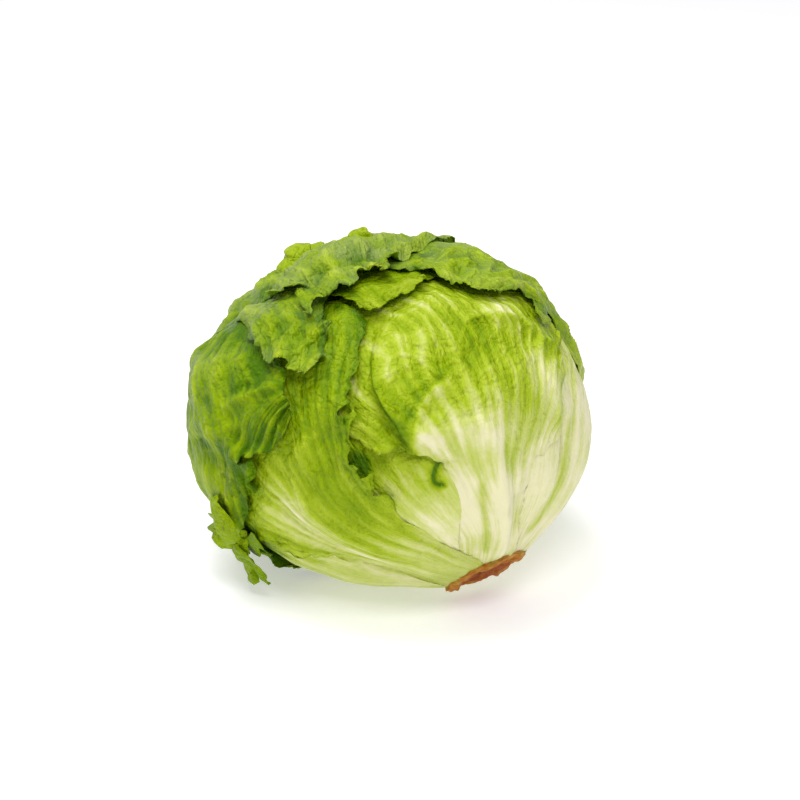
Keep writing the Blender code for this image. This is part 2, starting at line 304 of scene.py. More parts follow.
frontLeaf = dict(
    name="frontLeaf", node="front_leaf", turn=22, cell=0.72,
    outline=[(10, -8), (19, -11), (28, -11), (36, -10), (42, -10), (46, -11), (51, -13), (55, -16),
             (57, -20), (59, -23), (59, -28), (64, -32), (74, -36), (84, -34), (94, -27), (104, -19),
             (113, -12), (121, 0), (123, 16), (118, 32), (108, 43), (96, 49), (85, 51), (76, 49), (69, 47),
             (64, 43), (58, 41), (54, 35), (50, 31), (45, 29), (41, 26), (41, 22), (39, 19), (41, 16),
             (36, 13), (30, 10), (21, 7), (10, 5)],
    fan=[(10, -1, 6), (25, 0, 8), (45, 1, 15), (60, 3, 27), (80, 6, 42), (110, 8, 46)],
    rib=dict(height=3.0, width=3.6, until=78), veins=(9, 0.5), crumple=1.0, crinkle=0.5, crossFold=0.8,
    fingers=4.0,
    look=dict(pale=0.10, green=0.58, turnsGreen=(38, 70), pattern=1.3),
    calm=[(44, -11, 12), (50, 34, 12), (62, 42, 9)],
    folds=[
        dict(path=[(10, 1), (20, 1), (32, 1), (44, 1), (54, 1), (62, 0)], lift=2.0, far=3.4, near=3.0,
             shade=(-0.20, -0.20), spread=4.0),
        # a groove and a soft valley beside the rib, darker with painted shade
        dict(path=[(14, -4), (24, -4), (34, -4), (44, -4)], lift=-1.2, far=1.8, near=1.8,
             shade=(0.34, 0.30), spread=1.6),
        dict(path=[(18, 6), (30, 6), (42, 6), (54, 5)], lift=-0.8, far=3.0, near=3.0,
             shade=(0.16, 0.16), spread=5.0),
        dict(path=[(38, -7), (46, -8), (52, -10), (58, -13), (64, -16)], lift=2.0, far=3.4, near=2.8,
             shade=(-0.16, -0.16), spread=3.0),
        dict(path=[(52, -18), (60, -18), (66, -19), (72, -20), (79, -20), (87, -18), (94, -14), (102, -9)],
             lift=5.0, far=13.0, near=1.8, lean=3.0, shade=(0.16, 0.0)),
        # a dark line at the foot of the strip's ridge: painted shade
        dict(path=[(52, -19), (60, -19), (66, -20), (72, -21), (79, -21), (87, -19), (94, -15), (102, -10)],
             shade=(0.5, 0.5), spread=1.6),
        dict(path=[(55, -18), (60, -17), (65, -16), (69, -13), (71, -9), (72, -5), (75, 0)],
             lift=1.5, far=3.4, near=0.9, shade=(0.34, -0.32), spread=6.0, jag=2.4),
        # ridges painted lighter on one side and darker on the other: painted light and painted shade
        dict(path=[(86, 12), (85, 20), (82, 28), (76, 37), (69, 44)], lift=2.8, far=4.0, near=1.6, lean=1.6,
             shade=(-0.10, 0.16), spread=4.0),
        dict(path=[(69, 30), (72, 34), (68, 39), (60, 40)], lift=2.6, far=3.0, near=1.5, lean=1.2,
             shade=(-0.08, 0.14), spread=4.0),
        # short creases, darker with painted shade
        dict(path=[(86, -2), (80, -3), (76, -4), (72, -4)], lift=1.6, far=3.0, near=1.0, lean=1.0,
             shade=(0.45, -0.05), spread=1.1),
        dict(path=[(78, 0), (75, 3), (72, 5)], lift=1.4, far=2.6, near=1.0, lean=0.8,
             shade=(0.45, -0.05), spread=1.1),
    ],
    # the sunken, darker spots are painted shade in the hollow and in a small tear of the strip
    spots=[(78, 12, 9, 10, -1.4, 0.26), (73, 15, 5, 9, -0.8, 0.1), (90, -4, 14, 12, 2.4, -0.04),
           (52, 19, 12, 8, 0.3, 0.05), (91, -2, 9, 10, 0.0, 0.18), (82, -18, 8, 6, 0.0, 0.20),
           (46, 15, 8, 7, 0.0, 0.08), (86, 26, 9, 8, 1.8, -0.04), (70, 0, 9, 7, 0.8, 0.08),
           (84, 24, 8, 10, 0.5, -0.06), (61, 26, 13, 10, 0.8, -0.25), (57, 37, 8, 5, 1.2, 0.12),
           (68, 43, 14, 5, 0.0, 0.26), (65, 35, 13, 6, 0.0, 0.14), (47, 26, 5, 4, 1.5, 0.20),
           (80, -28, 14, 6, -0.5, -0.04), (66, -27, 10, 8, 0.4, 0.04), (62, -31, 6, 5, 0.0, 0.02),
           (74, -31, 4, 3, -0.6, 0.6), (59, -5, 7, 8, 1.2, -0.12), (54, 0, 6, 6, 0.4, -0.08),
           (57, -14, 5, 5, 0.6, -0.20), (100, 30, 12, 14, 1.6, 0.0), (106, 10, 10, 18, 1.2, 0.02)],
)

underLeaf = dict(
    name="underLeaf", node="under_leaf", turn=-75, cell=1.1,
    outline=[(10, -7), (24, -17), (50, -34), (72, -42), (100, -44), (128, -34), (132, -10), (126, 12),
             (100, 22), (72, 25), (50, 26), (30, 19), (10, 8)],
    fan=[(10, 0, 7), (40, -2, 22), (80, -5, 32), (130, -8, 30)],
    rib=dict(height=1.6, width=11.0, until=85), veins=(5, 0.35), crumple=0.25,
    look=dict(pale=0.24, green=0.8, turnsGreen=(46, 72), pattern=0.9),
)

leftLeaf = dict(
    name="leftLeaf", node="left_leaf", turn=-30, cell=0.9,
    outline=[(10, -6), (15, -8), (29, -12), (43, -20), (53, -27), (61, -32), (69, -37), (82, -43),
             (96, -47), (112, -44), (124, -34), (132, -18), (131, -4), (126, 10), (120, 23), (117, 32),
             (106, 37), (98, 36), (90, 31), (84, 27), (80, 21), (76, 23), (73, 19), (70, 15), (67, 17),
             (64, 12), (59, 14), (55, 9), (50, 11), (44, 8), (36, 9), (28, 8), (18, 8), (10, 6)],
    fan=[(10, 0, 7), (30, -1, 11), (50, -9, 19), (65, -13, 28), (85, -11, 42), (105, -4, 44), (130, 2, 38)],
    rib=dict(height=2.2, width=7.0, until=85), veins=(9, 0.85), crumple=0.7,
    look=dict(pale=0.30, green=0.88, turnsGreen=(26, 68), pattern=1.15),
    ruffle=dict(lift=2.6, wave=5.5, width=8.0, sway=2.4, fine=0.5),
    folds=[
        # a lighter ridge and a darker groove beside it: painted light and painted shade
        dict(path=[(112, 24), (104, 20), (95, 14), (86, 7), (78, 0), (70, -5)], lift=1.6, far=5.0, near=5.0,
             shade=(-0.14, -0.10)),
        dict(path=[(104, 29), (96, 25), (88, 21), (80, 14)], lift=-1.4, far=3.0, near=3.0,
             shade=(0.14, 0.10)),
    ],
    # the first spot, sunken and darker, is painted shade in a hollow below the upper left leaf's margin
    spots=[(93, 8, 8, 5, -3.0, 0.10), (60, 10, 5, 4, 0.6, -0.1), (108, 30, 8, 5, 1.0, -0.1),
           (58, -15, 24, 12, 0.0, -0.50), (66, -25, 14, 12, 0.0, -0.28), (84, -2, 8, 9, 0.0, -0.16),
           (40, -10, 12, 6, 0.0, -0.06)],
    holes=[(77, 19.5, 2.7), (66, 14, 3.0), (61.5, 12.5, 1.6)],
)

crownInnerLeaf = dict(
    name="crownInnerLeaf", node="crown_inner_leaf", turn=-175, cell=1.05, coarse=2.0, fineFrom=222,
    outline=[(10, -6), (26, -20), (60, -42), (120, -56), (180, -54), (225, -46), (244, -36), (250, -28),
             (254, -23), (258, -17), (256, -12), (259, -8), (258, -3), (252, -2), (246, -1), (236, 4),
             (200, 16), (120, 36), (60, 34), (26, 18), (10, 6)],
    fan=[(10, 0, 7), (60, 0, 36), (120, -4, 48), (200, -12, 34), (260, -14, 22)],
    crumple=1.2, look=dict(pale=0.2, green=0.72, turnsGreen=(30, 90), pattern=1.0),
)

backRightLeaf = dict(
    name="backRightLeaf", node="back_right_leaf", turn=125,
    outline=[(10, -4), (22, -2), (38, 2), (52, -2), (60, -12), (65, -24), (68, -36), (73, -42), (82, -48),
             (84, -53), (74, -57), (70, -61), (76, -63), (84, -61), (92, -61), (98, -69), (108, -75),
             (122, -78), (145, -77), (160, -74), (170, -69), (180, -63), (190, -54), (200, -36),
             (205, -12), (200, 16), (186, 40), (168, 52), (140, 60), (110, 60), (90, 57), (72, 47),
             (50, 34), (28, 19), (10, 7)],
    fan=[(10, 0, 7), (40, 6, 22), (80, 0, 48), (120, -10, 66), (200, -14, 52)],
    rib=dict(height=2.4, width=8.0, until=110), crumple=2.0, crinkle=1.4, crossFold=0.8,
    ruffle=dict(lift=1.4, wave=6.0, width=7.0, sway=1.8, fine=0.45),
    curl=dict(least=-30.0, most=30.0, width=4.0, length=9.0),
    look=dict(pale=0.02, green=0.86, turnsGreen=(34, 84), pattern=1.0),
    evenPaintedSheen=0.3, films=[(98, -50, 16, -0.3), (150, -50, 16, 0.15)],
    calm=[(56, -8, 14), (64, -26, 12), (74, -42, 13)],
    spots=[(70, 1, 45, 4, 0.6, -0.36), (115, -8, 30, 3, 0.6, -0.26)],
    folds=[dict(path=[(150, -60), (135, -64), (118, -68), (104, -67)], lift=2.0, far=7.0, near=3.0, lean=1.0,
                shade=(0.1, -0.05))],
)

leftOuterLeaf = dict(
    name="leftOuterLeaf", node="left_outer_leaf", turn=-100, cell=1.05, coarse=1.3,
    outline=[(10, -6), (30, -16), (45, -16), (56, -8), (62, 2), (67, 12), (71, 24), (74, 40), (78, 45),
             (84, 50), (80, 56), (76, 60), (72, 66), (70, 71), (78, 77), (98, 77), (122, 77), (146, 71),
             (162, 60), (174, 30), (176, -10), (160, -36), (130, -48), (100, -50), (72, -41), (40, -24),
             (10, -5)],
    fan=[(10, 0, 6), (40, -4, 18), (70, 2, 38), (100, 10, 58), (165, 8, 44)],
    crumple=2.2, crinkle=1.2, ruffle=looseRuffle, curl=looseCurl,
    look=dict(pale=0.3, green=0.97, turnsGreen=(20, 60), pattern=1.2),
    shine=0.12, films=[(150, 35, 15, 0.8), (128, 30, 12, 0.6)],
    # the two sunken, darker spots are painted shade in pits near the margin
    spots=[(92, 52, 8, 5, 1.5, 0.05), (84, 62, 6, 6, -1.0, 0.15), (130, 66, 9, 6, -2.4, 0.22),
           (86, 34, 16, 14, 0.0, -0.18), (75, 2, 45, 4, 0.6, -0.36), (120, 10, 30, 3, 0.6, -0.20)],
    frills=[
        dict(path=[(93, 41), (89, 45), (85, 50), (80, 56)], reach=14, rise=14, curl=-20, wave=9, amount=0.5,
             tone=1.05, side=-1),
        dict(path=[(80, 22), (76, 24), (71, 27), (69, 32)], toward=(0.6, -0.2, -1.0), reach=9, rise=5,
             curl=-20, wave=4, amount=2.2, ragged=0.6, tone=0.95),
    ],
    strands=[
        dict(start=(87, 31), way=[(2, -2, -5), (4, -3, -11), (3, -3, -16), (1, -2.5, -20)],
             widths=(10, 14, 15, 12, 7), tone=0.7),
        dict(start=(83, 27), way=[(3, -1.5, -7), (6, -2, -13), (9, -3, -19), (12, -2, -24), (13, -1, -29)],
             widths=(12, 13, 11, 9, 7, 4), tone=0.74),
        dict(start=(78, 26), way=[(3, -1.5, -6), (6, -2, -11), (10, -2, -16), (12, -3, -21), (15, -4, -24)],
             widths=(9, 8, 7, 6, 5, 3), tone=0.8),
        dict(start=(75, 24), way=[(3, -1, -4), (7, -1.5, -7), (12, -1.5, -9)],
             widths=(8, 7, 6, 3), tone=0.92),
    ],
)

upperLeftLeaf = dict(
    name="upperLeftLeaf", node="upper_left_leaf", turn=-130, cell=1.1, coarse=1.6, fineFrom=170,
    outline=[(10, -6), (26, -16), (50, -26), (80, -34), (130, -36), (180, -24), (205, 0), (222, 25),
             (232, 40), (240, 50), (250, 50), (254, 56), (262, 57), (264, 63), (256, 67), (246, 66),
             (236, 69), (222, 66), (208, 63), (196, 58), (182, 48), (166, 39), (148, 32), (122, 28),
             (80, 22), (40, 15), (10, 6)],
    fan=[(10, 0, 7), (60, 2, 26), (130, 4, 36), (200, 30, 36), (264, 58, 30)],
    crumple=2.1, crinkle=1.6, crossFold=0.8, ruffle=looseRuffle, curl=looseCurl,
    look=dict(pale=0.25, green=0.98, turnsGreen=(30, 80), pattern=1.1),
    evenPaintedSheen=0.6, films=[(245, 58, 12, -0.6), (215, 58, 10, -0.2)],
    calm=[(166, 39, 22), (192, 56, 10)], spots=[(90, 3, 50, 4, 0.6, -0.34)],
)

crownLeaf = dict(
    name="crownLeaf", node="crown_leaf", turn=-165, cell=1.1, coarse=1.5, fineFrom=180,
    outline=[(10, -6), (26, -20), (50, -34), (80, -50), (130, -58), (170, -54), (195, -45), (212, -36),
             (224, -27), (231, -20), (236, -14), (243, -9), (239, -4), (240, 0), (246, 4), (244, 8),
             (247, 12), (243, 17), (247, 20), (238, 19), (234, 16), (228, 19), (224, 24), (217, 23),
             (206, 25), (190, 29), (170, 40), (130, 52), (80, 50), (40, 29), (10, 7)],
    fan=[(10, 0, 7), (50, 0, 32), (100, 0, 54), (170, -6, 48), (245, -2, 30)],
    rib=dict(height=2.8, width=6.0, until=175), veins=(5, 0.9), crumple=2.2, crinkle=2.0, crossFold=1.4,
    ruffle=dict(lift=2.0, wave=6.0, width=8.0, sway=2.2, fine=0.5), curl=looseCurl,
    spots=[(80, 0, 55, 4, 0.8, -0.42), (130, -3, 40, 3, 0.8, -0.34)],
    look=dict(pale=0.05, green=0.94, turnsGreen=(30, 90), pattern=1.0),
    evenPaintedSheen=0.7,
    films=[(240, 14, 9, -0.8), (198, 5, 8, -0.5), (236, -10, 6, -0.5), (221, 9, 7, -0.4), (228, -22, 7, 0.3)],
    calm=[(214, -35, 14), (226, -25, 9), (200, 27, 14), (190, 30, 14)],
    frills=[
        dict(path=[(202, 14), (202, 9), (202, 4), (202, -1), (202, -4)], reach=9.0, rise=95, curl=-70, wave=6,
             amount=1.2, tone=0.62),
        dict(path=[(206, -11), (206, -15), (206, -19)], reach=3.6, rise=95, curl=-70, wave=5, amount=0.8,
             tone=0.62),
    ],
)

leaves = [innerLeafFront, innerLeafRight, innerLeafLeft, paleRightLeaf, rightLeaf, paleMiddleLeaf, frontLeaf,
          underLeaf, leftLeaf, crownInnerLeaf, backRightLeaf, leftOuterLeaf, upperLeftLeaf, crownLeaf]
usual = dict(
    cell=1.2, coarse=1.2, fineFrom=0,                                 # mesh size, coarse below fineFrom
    raggedFrom=34.0, lobes=(1.6, 11.0), teeth=(0.9, 3.6),             # how deep and how long
    crumple=0.0, crossWrinkle=0.0, crinkle=0.4, crossFold=0.0,
    rib=dict(height=1.0, width=8.0, until=80), veins=(5, 0.5),        # how many, and how high they stand
    look=dict(pale=0.2, green=0.6, turnsGreen=(30, 90), pattern=0.5),
    fingers=9.0,                                                      # how unevenly the pale base ends
    shine=0.26, evenPaintedSheen=0.0, films=[],                               # painted sheen all over, and in places
    ruffle=dict(lift=2.4, wave=7.5, width=9.0, sway=2.0, fine=0.45),
    curl=dict(least=-12.0, most=55.0, width=5.0, length=11.0),
    calm=[],                                                          # where the margin lies flat
    folds=[], spots=[], holes=[], frills=[], strands=[],
)
usualFold = dict(lift=0.0, far=1.0, near=1.0, lean=0.0, spread=8.0, jag=0.0, evenCovered=False)
usualFrill = dict(toward=None, side=1, ragged=0.22)
for order, leaf in enumerate(leaves):
    for key, value in usual.items():
        leaf.setdefault(key, value)
    leaf["folds"] = [{**usualFold, **fold} for fold in leaf["folds"]]
    leaf["frills"] = [{**usualFrill, **frill} for frill in leaf["frills"]]
    leaf["seed"] = 31 + 17 * order


def layOutGrid(leaf):
    # rows run from the stem to the tip, columns from one margin to the other
    size = meshStep / head["degree"]
    width = leaf["cell"] * size
    reach = max(point[0] for point in leaf["outline"]) + 3.0
    rows = [9.0]
    while rows[-1] < reach:
        rows.append(rows[-1] + (width if rows[-1] >= leaf["fineFrom"] else leaf["coarse"] * size))
    rows = np.array(rows)
    curve = smoothPath(leaf["outline"])
    low, high = np.zeros(len(rows)), np.zeros(len(rows))
    for index, row in enumerate(rows):
        gap = np.abs(curve[:, 0] - row)
        near = curve[gap < max(7.0, np.sort(gap)[2])]
        low[index], high[index] = near[:, 1].min() - 4.0, near[:, 1].max() + 4.0
    window = np.hanning(9) / np.hanning(9).sum()
    low, high = (np.convolve(np.pad(line, 4, mode="edge"), window, "valid") for line in (low, high))
    columns = int((high - low).max() / width)
    share = np.linspace(0.0, 1.0, columns)
    grid = SimpleNamespace(rows=rows, low=low, high=high, columns=columns, cell=width * head["degree"])
    grid.along = np.repeat(rows[:, None], columns, axis=1)
    grid.across = np.clip(low[:, None] + (high - low)[:, None] * share[None, :], -87.0, 87.0)
    grid.ways = toDirections(leaf["turn"], grid.along, grid.across)
    grid.points = grid.ways * head["radius"]
    return grid


def enlarge(table, rowPick, columnPick, shape):
    # back to every grid line, and a little smoother
    rows, columns = np.arange(shape[0]), np.arange(shape[1])
    wide = np.stack([np.interp(columns, columnPick, line) for line in table])
    full = np.stack([np.interp(rows, rowPick, wide[:, index]) for index in range(wide.shape[1])], axis=1)
    for axis in (0, 1):
        padded = np.pad(full, [(1, 1) if axis == side else (0, 0) for side in (0, 1)], mode="edge")
        first, last = (padded[:-2], padded[2:]) if axis == 0 else (padded[:, :-2], padded[:, 2:])
        full = 0.5 * full + 0.25 * (first + last)
    return full


def measureLayers(grid, order):
    # how the other leaves lie under and over this one, worked out at every third grid line
    shape = grid.along.shape
    rowPick, columnPick = (np.unique(np.append(np.arange(0, size, 3), size - 1)) for size in shape)
    ways = grid.ways[np.ix_(rowPick, columnPick)]
    near = np.clip(fromStem(ways) / head["crowding"], 0.25, 1.0)
    under, everything, average, exposed = (np.full(ways.shape[:-1], start) for start in (0.0, 0.0, 0.0, 1.0))
    for index, leaf in enumerate(leaves):
        inset = marginInset(leaf, ways)
        reaches = (head[key] * near for key in ("fade", "broadFade", "seenFade"))
        narrow, broad, seen = (ease((inset + 2.5 + reach) / reach) for reach in reaches)
        layer = (pitchAt(ways) + ribRelief(leaf, *toAngles(leaf["turn"], ways))) * narrow
        everything += layer
        average += pitchAt(ways) * broad
        if index < order:
            under += layer
        elif index == order:
            own = inset
        else:
            exposed *= 1.0 - seen
    grid.under, grid.everything, grid.average, grid.exposed, grid.inset = (
        enlarge(table, rowPick, columnPick, shape) for table in (under, everything, average, exposed, own))


def cutMargin(grid, leaf):
    # lobes, teeth and holes in the leaf's margin
    lobe, tooth, seed = leaf["lobes"], leaf["teeth"], leaf["seed"]
    grid.ragged = ease((grid.along - leaf["raggedFrom"]) / 22.0)
    grid.inset = grid.inset + grid.ragged * (lobe[0] * wander(grid.points, lobe[1], seed + 2)
                                             + tooth[0] * wander(grid.points, tooth[1], seed + 3))
    grid.calm = np.zeros(grid.along.shape)
    for along, across, width in leaf["calm"]:
        middle = toDirections(leaf["turn"], np.array(along), np.array(across))
        grid.calm = np.maximum(grid.calm, patch(grid.ways, middle, width))
    for along, across, radius in leaf["holes"]:
        middle = toDirections(leaf["turn"], np.array(along), np.array(across)) * head["radius"]
        away = np.linalg.norm(grid.points - middle, axis=-1) - radius
        grid.inset = np.minimum(grid.inset, away + 0.6 * wander(grid.points, 3.0, seed + 4))


def traceVeins(grid, leaf):
    # a fan of veins that doubles in number twice on its way out, and a net between them
    seed = leaf["seed"]
    middle, spread = ribPlace(leaf, grid.along)
    grid.fan = (grid.across - middle) / spread + 0.10 * wander(grid.points, 26.0, seed + 1)
    grid.flow = np.stack([grid.fan * 40.0, grid.along * 0.9, np.zeros(grid.along.shape)], axis=-1)
    grid.vein = np.zeros(grid.along.shape)
    start = 8.0
    for level, width in enumerate((2.0, 1.3, 0.85)):
        number = leaf["veins"][0] * 2**level
        bend = 0.22 * wander(grid.points, 17.0, seed + 90 + level)
        phase = (grid.fan * number / 2.0 + 0.5 * level + bend) % 1.0
        distance = np.abs(phase - 0.5) * 2.0 / number * spread * head["degree"]
        line = np.exp(-((distance / width) ** 2)) * ease((grid.along - start) / 25.0) * (1.0 - 0.25 * level)
        grid.vein = np.maximum(grid.vein, line)
        start += 30.0
    warped = grid.points + 3.0 * np.stack([wander(grid.points, 9.0, 81 + axis) for axis in range(3)], axis=-1)
    openNet, closeNet = creases(warped, 15.0, 0.10, seed + 5), creases(warped, 7.5, 0.13, seed + 6)
    grid.net = np.maximum(openNet, 0.7 * closeNet)
    grid.blade = ease((grid.along - 40.0) / 45.0)


def addSpots(grid, leaf):
    lift, tone = np.zeros(grid.along.shape), np.zeros(grid.along.shape)
    for along, across, long, wide, height, shade in leaf["spots"]:
        first = (grid.along - along) * head["degree"] * math.cos(math.radians(across)) / long
        second = (grid.across - across) * head["degree"] / wide
        bump = np.exp(-(first**2 + second**2))
        lift += height * bump * (grid.exposed if height > 0 else 1.0)
        tone += shade * bump
    return lift, tone


def addFolds(grid, leaf):
    # ridges along drawn paths, and the way that each ridge leans
    lift, tone = np.zeros(grid.along.shape), np.zeros(grid.along.shape)
    lean = np.zeros(grid.points.shape)
    sideways = leafWays(leaf["turn"])[1]
    for fold in leaf["folds"]:
        path = smoothPath(fold["path"], closed=False)
        chain = toDirections(leaf["turn"], path[:, 0], path[:, 1]) * head["radius"]
        distance, which, partWay = nearestOn(grid.points.reshape(-1, 3), chain)
        start, way = path[which], path[np.minimum(which + 1, len(path) - 1)] - path[which]
        angles = np.stack([grid.along.ravel(), grid.across.ravel()], axis=1) - start
        side = np.sign(way[:, 0] * angles[:, 1] - way[:, 1] * angles[:, 0])
        travelled = (which + partWay) / (len(chain) - 1)
        ends = (ease(travelled * 5.0) * ease((1.0 - travelled) * 5.0)).reshape(grid.along.shape)
        strength = ends * grid.exposed
        signed = (distance * side).reshape(grid.along.shape)
        reach = np.where(signed > 0, fold["far"], fold["near"])
        lift += fold["lift"] * np.exp(-((signed / reach) ** 2)) * strength
        nearShade, farShade = fold["shade"]
        farShare = 0.5 + 0.5 * np.tanh(signed / 0.9)
        signed = signed + fold["jag"] * wander(grid.points, 3.2, 41)
        seen = ends if fold["evenCovered"] else strength      # the tone may change under other leaves too
        shade = nearShade * (1.0 - farShare) + farShade * farShare
        tone += seen * np.exp(-np.abs(signed) / fold["spread"]) * shade
        crest = np.exp(-(((signed - 0.5) / 2.4) ** 2)) * strength
        lean -= (fold["lean"] * crest)[..., None] * sideways
    return lift, tone, lean


# How high the texture of the blade stands, in millimetres
relief = dict(blister=0.20, bladeBlister=0.60, wrinkle=0.75, fold=0.55, crossing=0.6, net=0.40)


def shapeSurface(grid, leaf):
    # the leaf's outer face, before its margin is ruffled
    seed, blade = leaf["seed"], grid.blade
    spotLift, grid.spotTone = addSpots(grid, leaf)
    foldLift, grid.foldTone, lean = addFolds(grid, leaf)
    blister = wander(grid.points, 9.0, 5) + 0.5 * wander(grid.points, 4.5, 6)
    wrinkle = 1.0 - np.abs(wander(grid.flow, 11.0, seed + 7)) * 2.2
    wrinkle = wrinkle + 0.6 * wander(grid.points, 13.0, seed + 8)
    alongVeins = grid.flow * [1.0, 0.5, 1.0] + 1.2 * blister[..., None]
    acrossVeins = grid.flow * [0.22, 1.0, 1.0] + 0.8 * blister[..., None]
    folded = 1.0 - 2.0 * np.abs(wander(alongVeins, 4.2, seed + 20))
    crossing = 1.0 - 2.0 * np.abs(wander(acrossVeins, 4.5, seed + 21))
    grid.blister, grid.wrinkle = blister, wrinkle
    grid.ridges = leaf["crinkle"] * folded + leaf["crossFold"] * crossing
    rise = (relief["blister"] + relief["bladeBlister"] * blade) * blister * (1.0 - 0.5 * grid.vein)
    rise = rise + leaf["crumple"] * blade * relief["wrinkle"] * wrinkle
    rise = rise + leaf["crinkle"] * blade * relief["fold"] * folded
    rise = rise + leaf["crossFold"] * blade * relief["crossing"] * crossing
    rise = rise + leaf["veins"][1] * grid.vein + relief["net"] * blade * grid.net
    rise = rise + leaf["crossWrinkle"] * wander(grid.points * [0.35, 0.35, 1.0], 1.9, seed + 9)
    rise = ribRelief(leaf, grid.along, grid.across) + rise * grid.exposed + spotLift + foldLift
    flat = np.maximum(1.0 - ease((grid.along - 44.0) / 18.0), grid.calm)
    settled = 1.0 - (1.0 - ease(grid.inset / 7.0)) * flat
    pitch = pitchAt(grid.ways)
    height = grid.under + np.maximum((pitch + rise) * settled, 0.12 + 0.25 * pitch * settled)
    free = outerForm(grid.ways) - grid.average + height + swells(grid.ways)
    drop = np.maximum(-grid.ways[..., 2], 0.05)
    resting = (head["centreHeight"] - (np.maximum(grid.everything, height) - height)) / drop
    grid.base = centre + grid.ways * softMin(free, resting, head["flatBlend"])[..., None] + lean

    # the way out of the leaf's face, and the way out past its margin
    alongStep, acrossStep = np.gradient(grid.base, axis=0), np.gradient(grid.base, axis=1)
    grid.normal = unit(np.cross(acrossStep, alongStep))
    insetAlong, insetAcross = np.gradient(grid.inset, axis=0), np.gradient(grid.inset, axis=1)
    alongSquare, acrossSquare = (alongStep**2).sum(-1), (acrossStep**2).sum(-1)
    mixed = (alongStep * acrossStep).sum(-1)
    area = np.maximum(alongSquare * acrossSquare - mixed * mixed, 1e-9)
    inward = (((acrossSquare * insetAlong - mixed * insetAcross) / area)[..., None] * alongStep
              + ((alongSquare * insetAcross - mixed * insetAlong) / area)[..., None] * acrossStep)
    grid.outward = -unit(inward)


def ruffleMargin(grid, leaf):
    # near the margin the blade waves up and down, sways along the edge and curls back
    seed, ruffle, curl = leaf["seed"], leaf["ruffle"], leaf["curl"]
    grid.depth = np.clip(grid.inset, 0.0, 60.0)
    foot = grid.points + grid.outward * grid.depth[..., None]
    free = grid.exposed * grid.ragged * (1.0 - grid.calm)
    nearEdge = ease(1.0 - grid.depth / ruffle["width"]) ** 1.4 * free
    wave = 0.5 + 0.8 * wander(foot, ruffle["wave"], seed + 10)
    wave = wave + ruffle["fine"] * wander(foot, ruffle["wave"] * 0.4, seed + 11)
    up = np.maximum(wave, 0.0) * ruffle["lift"] * nearEdge
    along = np.cross(grid.normal, grid.outward)
    sway = ruffle["sway"] * wander(foot, ruffle["wave"] * 0.8, seed + 12) * nearEdge
    push = 0.6 * ruffle["sway"] * wander(foot, ruffle["wave"] * 0.7, seed + 13) * nearEdge
    share = np.clip(0.4 + 0.75 * wander(foot, curl["length"], seed + 14), 0, 1)
    bend = np.radians(curl["least"] + (curl["most"] - curl["least"]) * share) * free
    rolled = np.clip(curl["width"] - grid.depth, 0.0, None)
    radius = curl["width"] / np.maximum(np.abs(bend), 0.05)
    turned = rolled / radius
    push = push + radius * np.sin(turned) - rolled
    up = up + radius * (1.0 - np.cos(turned)) * np.sign(bend)
    grid.shape = grid.base + grid.outward * push[..., None] + grid.normal * up[..., None]
    grid.shape = grid.shape + along * sway[..., None]


# How much each feature of the blade changes its tone. Blister, wrinkle and ridge paint light on crests and
# shade in hollows, and shaded paints shade below the leaf above.
paint = dict(streak=0.07, spotted=0.09, vein=0.22, net=0.10, blister=0.05, wrinkle=0.05, ridge=0.07,
             margin=0.10, shaded=0.12)


def paintTone(grid, leaf):
    # tone runs from 0, creamy white, to 1, deep green
    look, seed, blade = leaf["look"], leaf["seed"], grid.blade
    startGreen, fullGreen = look["turnsGreen"]
    stretched = grid.flow * [1.0, 0.25, 1.0]
    out = grid.along + 6.0 * wander(grid.points, 20.0, seed + 15)
    out = out + leaf["fingers"] * wander(stretched, 3.0, seed + 16)
    tone = look["pale"] + (look["green"] - look["pale"]) * ease((out - startGreen) / (fullGreen - startGreen))
    stretched = grid.flow * [1.0, 0.22, 1.0]
    streak = wander(stretched, 4.5, seed + 17) + 0.7 * wander(stretched, 2.0, seed + 18)
    spotted = wander(grid.points, 12.0, seed + 19)
    pattern = paint["streak"] * streak + paint["spotted"] * spotted
    pattern = pattern - paint["vein"] * grid.vein * (0.35 + 0.65 * blade)
    # raised blisters, wrinkles and ridges are painted paler and their hollows darker: painted light and
    # painted shade
    pattern = pattern - paint["net"] * grid.net * blade - paint["blister"] * grid.blister * blade
    tone = tone + look["pattern"] * pattern
    tone = tone - paint["wrinkle"] * leaf["crumple"] * blade * (grid.wrinkle - 0.3)
    tone = tone - paint["ridge"] * blade * (grid.ridges - 0.5)
    tone = tone + paint["margin"] * ease(1.0 - grid.depth / 7.0) * grid.ragged
    tone = tone + paint["shaded"] * (1.0 - grid.exposed) * blade      # painted shade: deeper green below the leaf above
    grid.tone = tone + grid.spotTone + grid.foldTone
    # painted sheen, even over the leaf and in patches, that stands for the light's reflection
    grid.film = np.full(tone.shape, leaf["evenPaintedSheen"])
    for along, across, width, amount in leaf["films"]:
        middle = toDirections(leaf["turn"], np.array(along), np.array(across))
        grid.film = grid.film + amount * patch(grid.ways, middle, width)
    grid.film = np.clip(grid.film, 0.0, 1.0)


def lookUp(grid, table, along, across):
    # value of a grid table at given leaf angles
    row = np.interp(along, grid.rows, np.arange(len(grid.rows)))
    low, high = np.interp(along, grid.rows, grid.low), np.interp(along, grid.rows, grid.high)
    column = np.clip((across - low) / (high - low), 0.0, 1.0) * (grid.columns - 1)
    upper = np.minimum(row.astype(int), len(grid.rows) - 2)
    left = np.minimum(column.astype(int), grid.columns - 2)
    rowPart, columnPart = (row - upper)[:, None], (column - left)[:, None]
    return ((table[upper, left] * (1 - rowPart) + table[upper + 1, left] * rowPart) * (1 - columnPart)
            + (table[upper, left + 1] * (1 - rowPart) + table[upper + 1, left + 1] * rowPart) * columnPart)


